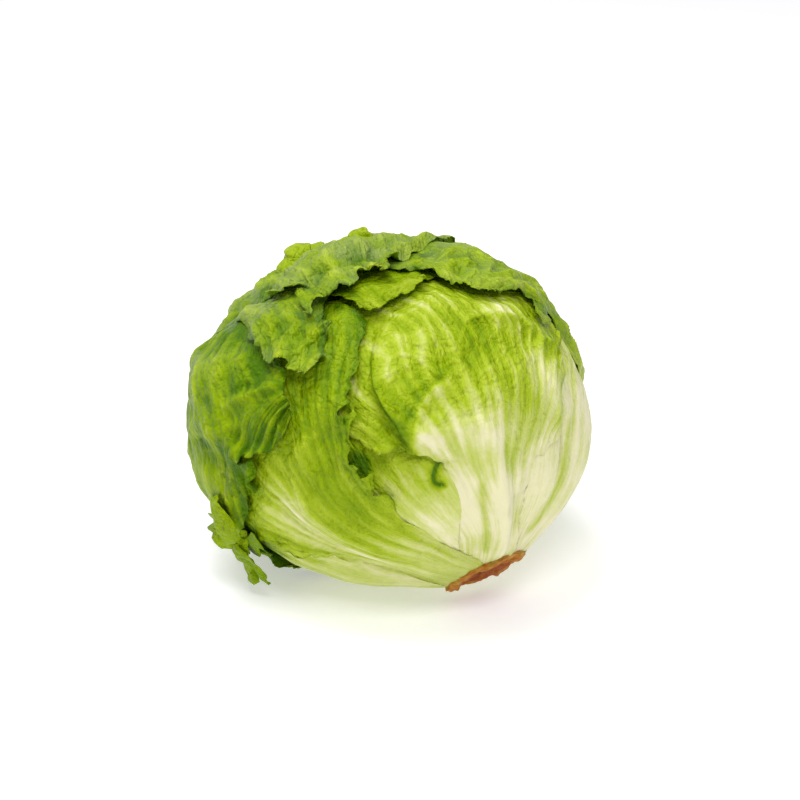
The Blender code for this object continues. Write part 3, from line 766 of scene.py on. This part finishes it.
def lengthAlong(path):
    return np.append(0.0, np.cumsum(np.linalg.norm(np.diff(path, axis=0), axis=1)))


def pointsAt(places, travelled, path):
    return np.stack([np.interp(places, travelled, line) for line in path.T], axis=1)


def gridFaces(rows, columns, order=(0, 1, 2, 3)):
    number = np.arange(rows * columns).reshape(rows, columns)
    corners = (number[:-1, :-1], number[:-1, 1:], number[1:, 1:], number[1:, :-1])
    return np.stack([corners[index] for index in order], axis=-1).reshape(-1, 4)


def growFrill(grid, frill, seed):
    # a loose lobe that starts along a path on the leaf's face and ends in a wavy edge
    path = smoothPath(frill["path"], steps=8, closed=False)
    root = lookUp(grid, grid.base, path[:, 0], path[:, 1])
    travelled = lengthAlong(root)
    count = max(int(travelled[-1] / (0.7 * meshStep)), 5)
    even = np.linspace(0.0, travelled[-1], count)
    root, angles = pointsAt(even, travelled, root), pointsAt(even, travelled, path)
    normal = unit(lookUp(grid, grid.normal, angles[:, 0], angles[:, 1]))
    tangent = unit(np.gradient(root, axis=0))
    if frill["toward"]:
        outWay = np.array(frill["toward"]) + np.zeros(root.shape)
    else:
        outWay = np.cross(normal, tangent) * frill["side"]
    outWay = unit(outWay - tangent * (outWay * tangent).sum(-1, keepdims=True))
    upWay = unit(normal - outWay * (normal * outWay).sum(-1, keepdims=True))
    share = even / travelled[-1]
    profile = np.sin(np.pi * np.clip(0.06 + 0.88 * share, 0, 1)) ** 0.6
    reach = frill["reach"] * profile * (1.0 + frill["ragged"] * wander(root, frill["wave"] * 0.6, seed))
    steps = max(int(frill["reach"] / (0.8 * meshStep)), 4)
    lean = np.radians(frill["rise"] + frill["curl"] * (np.arange(steps) + 0.5) / steps)
    outSum, upSum = (np.append(0.0, np.cumsum(turned(lean)) / steps) for turned in (np.cos, np.sin))
    part = np.linspace(0.0, 1.0, steps + 1)
    moving = root[:, None, :] + part[None, :, None] * 2.0
    wave, sway = (wander(moving, frill["wave"], seed + more) * frill["amount"] * part**1.2 for more in (1, 2))
    root, normal, outWay, upWay, tangent = (
        item[:, None, :] for item in (root, normal, outWay, upWay, tangent))
    points = (root - normal * 0.4 + outWay * (outSum * reach[:, None])[..., None]
              + upWay * (upSum * reach[:, None] + wave)[..., None] + tangent * sway[..., None])
    faces = gridFaces(count, steps + 1)
    across = np.cross(points[1, 1] - points[0, 0], points[0, 1] - points[0, 0])
    if np.dot(across, upWay[0, 0]) > 0:
        faces = faces[:, ::-1]
    tone = frill["tone"] + 0.08 * wander(points, 5.0, seed + 3) - 0.10 * part
    return points.reshape(-1, 3), faces, tone.ravel()


def hangStrand(grid, strand, seed):
    # a torn strip of the leaf's margin that hangs from a point on it
    along, across = (np.array([value], float) for value in strand["start"])
    start = lookUp(grid, grid.base, along, across)[0]
    outWay = unit(lookUp(grid, grid.normal, along, across)[0])
    knots = np.concatenate([[(0.0, 0.0, 0.0)], strand["way"]]) + start
    travelled = lengthAlong(knots)
    count = int(travelled[-1] / (0.6 * meshStep))
    even = np.linspace(0.0, travelled[-1], count)
    spine = pointsAt(even, travelled, knots)
    for smoothing in range(3):
        spine[1:-1] = 0.5 * spine[1:-1] + 0.25 * (spine[:-2] + spine[2:])
    wiggle = np.stack([wander(spine, 6.0, seed + 5 + axis) for axis in range(3)], axis=1)
    spine = spine + wiggle * np.minimum(even, 7.0)[:, None] * 0.32
    width = np.interp(even, travelled, strand["widths"])[:, None]
    tangent = unit(np.gradient(spine, axis=0))
    twist = 0.9 * wander(spine, 8.0, seed)[:, None]
    level = unit(np.cross(outWay, tangent))
    upright = unit(np.cross(tangent, level))
    sideways = level * np.cos(twist) + upright * np.sin(twist)
    facing = upright * np.cos(twist) - level * np.sin(twist)
    share = np.linspace(-1.0, 1.0, 9 if meshStep == 1.0 else 5)
    edge = spine[:, None, :] + share[None, :, None] * 6.0 * sideways[:, None, :]
    reach = 0.5 * width * share[None, :] * (1.0 + 0.55 * wander(edge, 2.6, seed + 1) * np.abs(share))
    bulge = width * 0.22 * (1.0 - share**2) + 0.5 * wander(edge, 3.0, seed + 2)
    points = spine[:, None, :] + sideways[:, None, :] * reach[..., None]
    points = points + facing[:, None, :] * bulge[..., None]
    tone = strand["tone"] + 0.12 * wander(points, 4.0, seed + 3)
    return points.reshape(-1, 3), gridFaces(count, len(share), order=(0, 3, 2, 1)), tone.ravel()


def newPiece(name, points, faces):
    mesh = bpy.data.meshes.new(name)
    mesh.from_pydata((points * metre).tolist(), [], faces)
    mesh.shade_smooth()
    piece = bpy.data.objects.new(name, mesh)
    bpy.context.scene.collection.objects.link(piece)
    return piece


def storeValues(mesh, name, values):
    # one number or one vector for each point of the mesh, which its material reads
    kind, field = ("FLOAT_VECTOR", "vector") if values.ndim == 2 else ("FLOAT", "value")
    attribute = mesh.attributes.new(name, kind, "POINT")
    attribute.data.foreach_set(field, values.astype(np.float32).ravel())


def buildLeaf(grid, leaf):
    away = fromStem(grid.ways)
    keep = (grid.inset > -0.55 * grid.cell) & (away > head["neckAngle"])
    quads = keep[:-1, :-1] & keep[1:, :-1] & keep[1:, 1:] & keep[:-1, 1:]
    touching = np.zeros(keep.shape, int)
    for rowShift in (0, 1):
        for columnShift in (0, 1):
            touching[rowShift:rowShift + quads.shape[0], columnShift:columnShift + quads.shape[1]] += quads
    edge = (touching > 0) & (touching < 4) & (away > head["neckAngle"] + 2.0)
    slide = np.where(edge, np.clip(grid.inset, -0.6 * grid.cell, 0.5 * grid.cell), 0.0)
    shape = grid.shape + grid.outward * slide[..., None]
    used = touching > 0
    number = np.cumsum(used.ravel()).reshape(used.shape) - 1
    row, column = np.argwhere(quads).T
    faces = np.stack([number[row, column], number[row, column + 1], number[row + 1, column + 1],
                      number[row + 1, column]], axis=1)
    points, tone, film = shape[used], grid.tone[used], grid.film[used]
    depth, flow = grid.depth[used], grid.flow[used]
    seed = leaf["seed"]
    extras = []
    for grow, kind, start in ((growFrill, "frills", 200), (hangStrand, "strands", 300)):
        extras += [grow(grid, extra, seed + start + 10 * index) for index, extra in enumerate(leaf[kind])]
    for morePoints, moreFaces, moreTone in extras:
        faces = np.concatenate([faces, moreFaces + len(points)])
        points, tone = np.concatenate([points, morePoints]), np.concatenate([tone, moreTone])
        film = np.concatenate([film, np.zeros(len(morePoints))])
        depth = np.concatenate([depth, np.full(len(morePoints), 2.0)])
        flow = np.concatenate([flow, morePoints])
    points[:, 2] = np.maximum(points[:, 2], head["lowest"])
    piece = newPiece(leaf["name"], points, faces.tolist())
    storeValues(piece.data, "tone", tone)
    storeValues(piece.data, "film", film)
    storeValues(piece.data, "flow", flow)
    thick = piece.vertex_groups.new(name="thick")
    weights = np.round(0.35 + 0.65 * ease(depth / 12.0), 1)      # thinner toward the margin
    for weight in np.unique(weights):
        thick.add(np.flatnonzero(weights == weight).tolist(), float(weight), "REPLACE")
    shell = piece.modifiers.new("thickness", "SOLIDIFY")
    shell.thickness = head["thickness"] * metre
    shell.offset = -1.0
    shell.vertex_group = "thick"
    print("grew", leaf["name"], len(faces), "faces")
    return piece


def growLeaf(order):
    leaf = leaves[order]
    grid = layOutGrid(leaf)
    measureLayers(grid, order)
    cutMargin(grid, leaf)
    traceVeins(grid, leaf)
    shapeSurface(grid, leaf)
    ruffleMargin(grid, leaf)
    paintTone(grid, leaf)
    return buildLeaf(grid, leaf)


def newMaterial(name):
    material = bpy.data.materials.new(name)
    material.use_nodes = True
    return material, material.node_tree, material.node_tree.nodes["Principled BSDF"]


def setInputs(tree, node, values):
    # each value is fixed, or comes from another node
    for key, value in values.items():
        if isinstance(value, bpy.types.NodeSocket):
            tree.links.new(value, node.inputs[key])
        else:
            node.inputs[key].default_value = value


def addNode(tree, kind, values, **settings):
    node = tree.nodes.new("ShaderNode" + kind)
    for key, value in settings.items():
        setattr(node, key, value)
    setInputs(tree, node, values)
    return node


def calculate(tree, operation, *values, clamp=False):
    return addNode(tree, "Math", dict(enumerate(values)), operation=operation, use_clamp=clamp).outputs[0]


def noise(tree, place, scale, detail, roughness=0.5, distortion=0.0):
    values = {"Vector": place, "Scale": scale, "Detail": detail, "Roughness": roughness,
              "Distortion": distortion}
    return addNode(tree, "TexNoise", values).outputs["Fac"]


def addBump(tree, values):
    return addNode(tree, "Bump", values).outputs["Normal"]


def stored(tree, name, output="Fac"):
    return addNode(tree, "Attribute", {}, attribute_name=name).outputs[output]


def objectPlace(tree):
    return addNode(tree, "TexCoord", {}).outputs["Object"]


def colourRamp(tree, value, colours):
    ramp = addNode(tree, "ValToRGB", {"Fac": value})
    stops = ramp.color_ramp.elements
    while len(stops) < len(colours):
        stops.new(0.5)
    for stop, (position, colour) in zip(stops, colours):
        stop.position, stop.color = position, (*colour, 1.0)
    return ramp.outputs["Color"]


# Each stop is a tone and its colour. Depths and the subsurface scale are metres.
leafFinish = dict(
    stops=((0.0, (0.80, 0.77, 0.48)), (0.2, (0.58, 0.64, 0.18)), (0.42, (0.41, 0.53, 0.022)),
           (0.66, (0.27, 0.395, 0.0)), (0.86, (0.18, 0.30, 0.0)), (1.05, (0.07, 0.17, 0.0))),
    mottle=0.08, mottleScale=260.0, streakTone=0.26, streakScale=0.75,
    # the painted sheen's colour, cover and patch size, then the shader's own sheen
    filmColour=(0.45, 0.52, 0.20, 1.0), filmCover=0.7, filmScale=55.0, filmSheen=0.03, sheenRoughness=0.4,
    bump=0.8, paleBump=0.3, bumpDepth=0.0020, crumpleScale=80.0, crumpleDepth=0.0042,
    netScale=330.0, netHeight=0.6, puckerScale=420.0, streakHeight=0.7,
    roughness=0.42, shineTint=(0.95, 1.0, 0.45, 1.0),
    subsurface=0.10, subsurfaceRadius=(0.6, 1.0, 0.15), subsurfaceScale=0.003,
)


def leafMaterial(name, filmed, shine):
    material, tree, shader = newMaterial(name + "Skin")
    finish = leafFinish
    place, tone = objectPlace(tree), stored(tree, "tone")

    # the stored tone, mottled, with fine streaks that follow the leaf's veins
    mottle = noise(tree, place, finish["mottleScale"], 4.0)
    mottle = calculate(tree, "MULTIPLY_ADD", mottle, finish["mottle"] * 2.0, -finish["mottle"])
    total = calculate(tree, "ADD", tone, mottle)
    along = addNode(tree, "VectorMath", {0: stored(tree, "flow", "Vector"), 1: (1.0, 0.22, 1.0)},
                    operation="MULTIPLY").outputs["Vector"]
    streaks = noise(tree, along, finish["streakScale"], 3.0, distortion=0.6)
    lower = calculate(tree, "SUBTRACT", total, finish["streakTone"] * 0.5)
    total = calculate(tree, "MULTIPLY_ADD", streaks, finish["streakTone"], lower)
    last = finish["stops"][-1][0]
    scaled = calculate(tree, "DIVIDE", total, last, clamp=True)
    colour = colourRamp(tree, scaled, [(position / last, stop) for position, stop in finish["stops"]])
    if filmed:
        # painted sheen: a greyish colour in soft patches that stands for the light's reflection on the waxy
        # leaf
        patches = noise(tree, place, finish["filmScale"], 5.0, roughness=0.65)
        limits = {"Value": patches, "From Min": 0.42, "From Max": 0.68, "To Max": finish["filmCover"]}
        amount = addNode(tree, "MapRange", limits).outputs["Result"]
        covered = calculate(tree, "MULTIPLY", amount, stored(tree, "film"))
        colours = {"Fac": covered, "Color1": colour, "Color2": finish["filmColour"]}
        colour = addNode(tree, "MixRGB", colours).outputs["Color"]

    # a fine net of veins and puckers over broader crumples, smoother where the leaf is pale
    net = addNode(tree, "TexVoronoi", {"Vector": place, "Scale": finish["netScale"]},
                  feature="DISTANCE_TO_EDGE")
    pucker = noise(tree, place, finish["puckerScale"], 3.0)
    fine = calculate(tree, "MULTIPLY_ADD", net.outputs["Distance"], finish["netHeight"], pucker)
    fine = calculate(tree, "MULTIPLY_ADD", streaks, finish["streakHeight"], fine)
    crumple = noise(tree, place, finish["crumpleScale"], 2.0, distortion=0.7)
    limits = {"Value": tone, "From Max": 0.5, "To Min": finish["bump"] * finish["paleBump"],
              "To Max": finish["bump"]}
    strength = addNode(tree, "MapRange", limits).outputs["Result"]
    broad = addBump(tree, {"Strength": strength, "Distance": finish["crumpleDepth"], "Height": crumple})
    bump = addBump(tree, {"Strength": strength, "Distance": finish["bumpDepth"], "Height": fine,
                          "Normal": broad})
    setInputs(tree, shader, {
        "Base Color": colour, "Normal": bump, "Roughness": finish["roughness"],
        "Specular IOR Level": shine, "Specular Tint": finish["shineTint"],
        "Sheen Weight": finish["filmSheen"] if filmed else 0.0, "Sheen Roughness": finish["sheenRoughness"],
        "Subsurface Weight": finish["subsurface"], "Subsurface Radius": finish["subsurfaceRadius"],
        "Subsurface Scale": finish["subsurfaceScale"]})
    return material


def claim(piece, node):
    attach(piece, "root")
    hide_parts(node)


for order, leaf in enumerate(leaves):
    piece = growLeaf(order)
    piece.data.materials.append(leafMaterial(leaf["name"], bool(leaf["films"]), leaf["shine"]))
    claim(piece, leaf["node"])

# The heart is a plain lumpy ball under all the leaves.
heart = dict(name="heartBall", radius=52.0, squash=0.8, lump=1.6, lumpLength=15.0, tone=0.35, detail=4)


def makeHeart():
    bpy.ops.mesh.primitive_ico_sphere_add(subdivisions=heart["detail"], radius=1.0)
    piece = bpy.context.object
    piece.name = heart["name"]
    mesh = piece.data
    ways = np.zeros(len(mesh.vertices) * 3)
    mesh.vertices.foreach_get("co", ways)
    ways = unit(ways.reshape(-1, 3))
    points = centre + ways * [1.0, 1.0, heart["squash"]] * heart["radius"]
    points = points + ways * (heart["lump"] * wander(ways * heart["radius"], heart["lumpLength"], 5))[:, None]
    mesh.vertices.foreach_set("co", (points * metre).ravel())
    storeValues(mesh, "tone", np.full(len(mesh.vertices), heart["tone"]))
    mesh.shade_smooth()
    mesh.materials.append(leafMaterial("heart", False, usual["shine"]))
    claim(piece, "heart")
    print("made the heart")


makeHeart()

# The cut stem: a rough brown face with a tan rim, a little askew, and a short side that runs in to
# the leaf bases.
stemCut = dict(
    name="cutStem", radius=17.0, face=78.2, askew=(0.425, -0.516, -0.743), side=13.0, taper=3.0, rough=0.8,
    rings=34, sideSteps=10, segments=170, lowest=0.1,
    colours=((0.0, (0.14, 0.026, 0.002)), (0.25, (0.38, 0.085, 0.006)), (0.42, (0.50, 0.19, 0.012)),
             (0.62, (0.56, 0.33, 0.05)), (0.85, (0.72, 0.66, 0.30))),
    grainScale=280.0, bumpDepth=0.002, roughness=0.6, shine=0.2,
)


def makeStem():
    rings, segments = stemCut["rings"], stemCut["segments"]
    angle = np.radians(np.linspace(0.0, 360.0, segments, endpoint=False))
    rim = np.stack([np.cos(angle) * 30, np.sin(angle) * 30, 0 * angle], axis=-1)
    rimRadius = stemCut["radius"] + 0.9 * wander(rim, 9.0, 71) + 0.8 * wander(rim, 2.6, 72)
    cutWay = unit(np.array(stemCut["askew"]))
    firstWay = unit(frontWay - cutWay * (frontWay @ cutWay))
    secondWay = np.cross(firstWay, cutWay)
    out = firstWay[None, :] * np.cos(angle)[:, None] + secondWay[None, :] * np.sin(angle)[:, None]
    middle = centre + stemAxis * stemCut["face"]
    rows, tones = [], []
    for ring in range(1, rings + 1):
        share = ring / rings
        flat = out * (rimRadius * share)[:, None]
        lift = 1.3 * stemCut["rough"] * wander(flat, 2.2, 73) + 1.2 * wander(flat, 6.0, 74)
        lift = lift - 0.9 * ease((share - 0.86) / 0.14) - 1.6 * (1 - share)
        rows.append(middle + flat + cutWay[None, :] * lift[:, None])
        tones.append(np.full(segments, share) + 0.16 * wander(flat, 4.0, 75))
    for step in range(1, stemCut["sideSteps"] + 1):
        share = step / stemCut["sideSteps"]
        flat = out * (rimRadius - 0.4 - stemCut["taper"] * share)[:, None]
        rough = 0.35 * wander(flat + stemAxis * share * 12.0, 2.5, 76)
        rows.append(middle + flat + out * rough[:, None] - cutWay * (1.2 + stemCut["side"] * share))
        tones.append(np.full(segments, 1.0 + 1.2 * share))
    ends = [(middle - cutWay * reach)[None, :] for reach in (1.6, 2.0 + stemCut["side"])]
    points = np.concatenate(rows + ends)
    here = np.arange(segments)
    after = (here + 1) % segments
    faces = []
    for ring in range(len(rows) - 1):
        start, beyond = ring * segments, (ring + 1) * segments
        faces += np.stack([start + here, beyond + here, beyond + after, start + after], axis=1).tolist()
    last = (len(rows) - 1) * segments
    faces += [(len(points) - 2, step, int(after[step])) for step in range(segments)]
    faces += [(len(points) - 1, last + int(after[step]), last + step) for step in range(segments)]
    points[:, 2] = np.maximum(points[:, 2], stemCut["lowest"])
    piece = newPiece(stemCut["name"], points, faces)
    storeValues(piece.data, "ringShare", np.concatenate(tones + [np.array([0.0, 2.2])]))
    return piece


def stemMaterial():
    material, tree, shader = newMaterial("driedCut")
    grain = noise(tree, objectPlace(tree), stemCut["grainScale"], 6.0, roughness=0.7)
    mix = calculate(tree, "MULTIPLY_ADD", grain, 2.0, stored(tree, "ringShare"))
    mix = calculate(tree, "MULTIPLY_ADD", mix, 0.5, -0.50)
    bump = addBump(tree, {"Strength": 1.0, "Distance": stemCut["bumpDepth"], "Height": grain})
    setInputs(tree, shader, {"Base Color": colourRamp(tree, mix, stemCut["colours"]), "Normal": bump,
                             "Roughness": stemCut["roughness"], "Specular IOR Level": stemCut["shine"]})
    return material


stem = makeStem()
stem.data.materials.append(stemMaterial())
claim(stem, "stem")
print("made the stem")

# Floor, light and camera: lengths are metres here, and the lens is millimetres.
studio = dict(
    floorSize=8.0, floorColour=(0.78, 0.77, 0.80, 1.0), floorGlow=0.39, worldLight=0.37,
    overhead=dict(place=(-0.40, 0.10, 1.6), aim=(0.0, 0.0, 0.05), size=0.9, power=17.5),
    key=dict(place=(0.2, -1.15, 1.6), aim=(0.0, 0.0, 0.05), size=0.8, power=16.0),
    lens=100.0, distance=0.8911, pixel=0.000401, headAt=(390.0, 409.0),
)


def makeFloor():
    bpy.ops.mesh.primitive_plane_add(size=studio["floorSize"])
    floor = bpy.context.object
    floor.name = "floor"
    material, tree, shader = newMaterial("paleFloor")
    setInputs(tree, shader, {
        "Base Color": studio["floorColour"], "Roughness": 0.9, "Specular IOR Level": 0.1,
        "Emission Color": (1.0, 1.0, 1.0, 1.0), "Emission Strength": studio["floorGlow"]})
    floor.data.materials.append(material)


def areaLight(name):
    lamp = studio[name]
    data = bpy.data.lights.new(name, "AREA")
    data.shape = "DISK"
    data.size, data.energy = lamp["size"], lamp["power"]
    piece = bpy.data.objects.new(name, data)
    piece.location = lamp["place"]
    piece.rotation_euler = (Vector(lamp["aim"]) - Vector(lamp["place"])).to_track_quat("-Z", "Y").to_euler()
    bpy.context.scene.collection.objects.link(piece)


def lightTheRoom():
    world = bpy.data.worlds.new("softRoom")
    bpy.context.scene.world = world
    world.use_nodes = True
    background = world.node_tree.nodes["Background"]
    background.inputs["Color"].default_value = (1.0, 1.0, 1.0, 1.0)
    background.inputs["Strength"].default_value = studio["worldLight"]
    areaLight("overhead")
    areaLight("key")
    bpy.context.scene.view_settings.view_transform = "Standard"


def placeCamera():
    # the head's middle shows at headAt, in pixels of an 800 by 800 picture
    upWay = np.array([0.0, math.sin(viewTilt), math.cos(viewTilt)])
    column, row = studio["headAt"]
    right, up = (column - 400.0) * studio["pixel"], (400.0 - row) * studio["pixel"]
    data = bpy.data.cameras.new("view")
    data.lens, data.sensor_width = studio["lens"], 36.0
    camera = bpy.data.objects.new("view", data)
    middle = centre * metre + towardViewer * studio["distance"]
    camera.location = middle - np.array([right, 0, 0]) - upWay * up
    camera.rotation_euler = (math.radians(90.0 - head["viewAngle"]), 0.0, 0.0)
    bpy.context.scene.collection.objects.link(camera)
    bpy.context.scene.camera = camera


makeFloor()
lightTheRoom()
placeCamera()
print("set the floor, light and camera")
